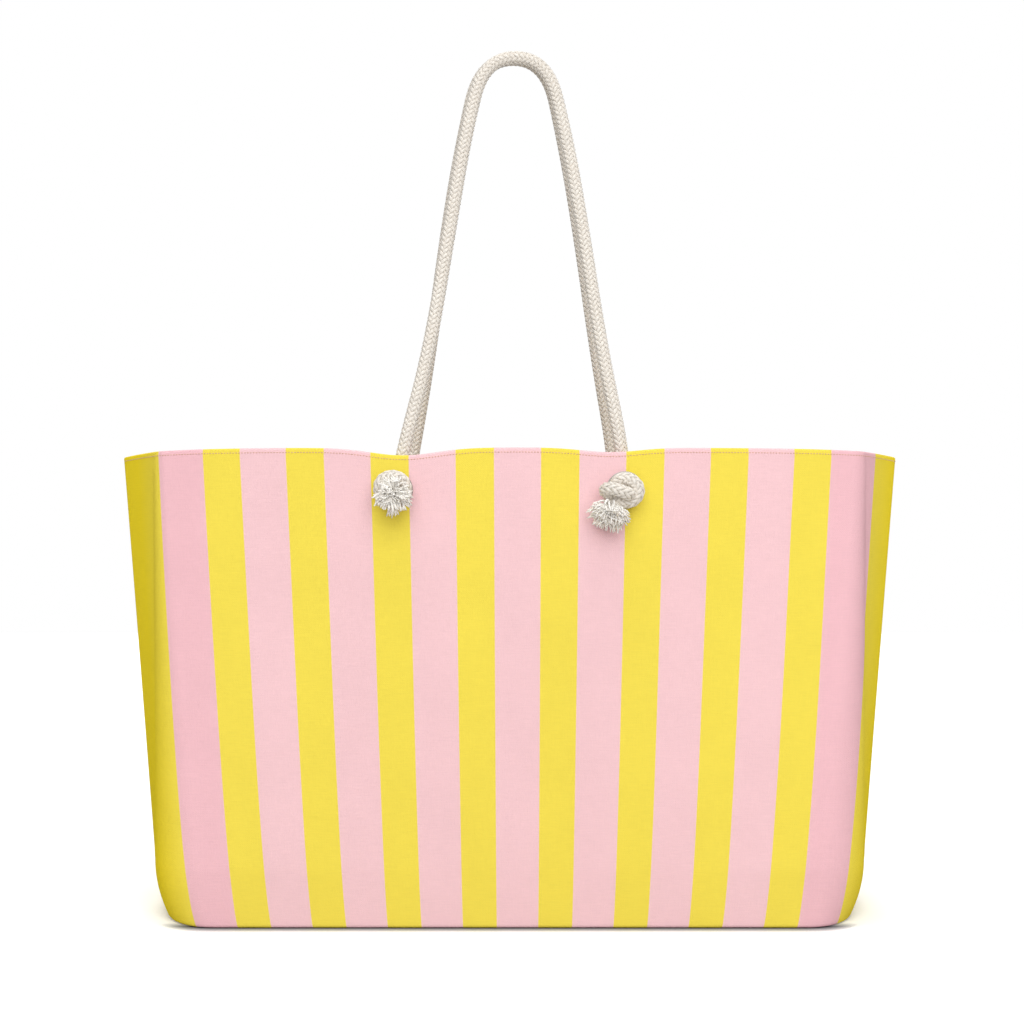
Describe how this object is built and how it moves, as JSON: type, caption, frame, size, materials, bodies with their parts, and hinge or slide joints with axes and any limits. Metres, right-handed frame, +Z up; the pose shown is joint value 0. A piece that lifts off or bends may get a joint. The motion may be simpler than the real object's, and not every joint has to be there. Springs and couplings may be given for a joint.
{
  "type": "weekender bag",
  "caption": "Open-topped canvas weekender bag with a boxed base and two knotted rope handles that fold down.",
  "frame": {"origin": "middle of the base, on the surface the bag stands on", "axes": "+X along the bag's width, -Y towards its front, +Z up; without the ropes the bag is the same on both sides of X and of Y"},
  "size_m": [0.5684, 0.2126, 0.624],
  "materials": {
    "striped_canvas": "matt woven canvas, printed with lengthwise pink and yellow stripes",
    "interlining": "stiff non-woven",
    "lining_cloth": "plain natural cotton",
    "thread": "polyester sewing thread",
    "eyelet_metal": "satin nickel",
    "board": "plain sheet",
    "label_tape": "satin tape, blank",
    "rope_cotton": "braided natural cotton",
    "frayed_cotton": "loose cotton strands"
  },
  "bodies": {
    "bag": {"back_interlining": "interlining", "back_left_eyelet": "eyelet_metal", "back_left_frayed_end": "frayed_cotton", "back_left_knot": "rope_cotton", "back_left_leg": "rope_cotton", "back_left_washer": "eyelet_metal", "back_lining": "lining_cloth", "back_panel": "striped_canvas", "back_right_eyelet": "eyelet_metal", "back_right_frayed_end": "frayed_cotton", "back_right_knot": "rope_cotton", "back_right_leg": "rope_cotton", "back_right_washer": "eyelet_metal", "back_rim_facing": "striped_canvas", "back_rim_topstitching": "thread", "base_board": "board", "care_label": "label_tape", "front_interlining": "interlining", "front_left_eyelet": "eyelet_metal", "front_left_frayed_end": "frayed_cotton", "front_left_knot": "rope_cotton", "front_left_leg": "rope_cotton", "front_left_washer": "eyelet_metal", "front_lining": "lining_cloth", "front_panel": "striped_canvas", "front_right_eyelet": "eyelet_metal", "front_right_frayed_end": "frayed_cotton", "front_right_knot": "rope_cotton", "front_right_leg": "rope_cotton", "front_right_washer": "eyelet_metal", "front_rim_facing": "striped_canvas", "front_rim_topstitching": "thread", "inner_pocket": "lining_cloth"},
    "front_rope": {"front_handle": "rope_cotton"},
    "back_rope": {"back_handle": "rope_cotton"}
  },
  "joints": [
    {"name": "front_handle_fold", "type": "hinge", "parent": "bag", "child": "front_rope", "pos_m": [0, -0.05365, 0.37212], "axis": [1, 0, 0], "range_deg": [0, 145]},
    {"name": "back_handle_fold", "type": "hinge", "parent": "bag", "child": "back_rope", "pos_m": [0, 0.05365, 0.37212], "axis": [-1, 0, 0], "range_deg": [0, 145]}
  ]
}
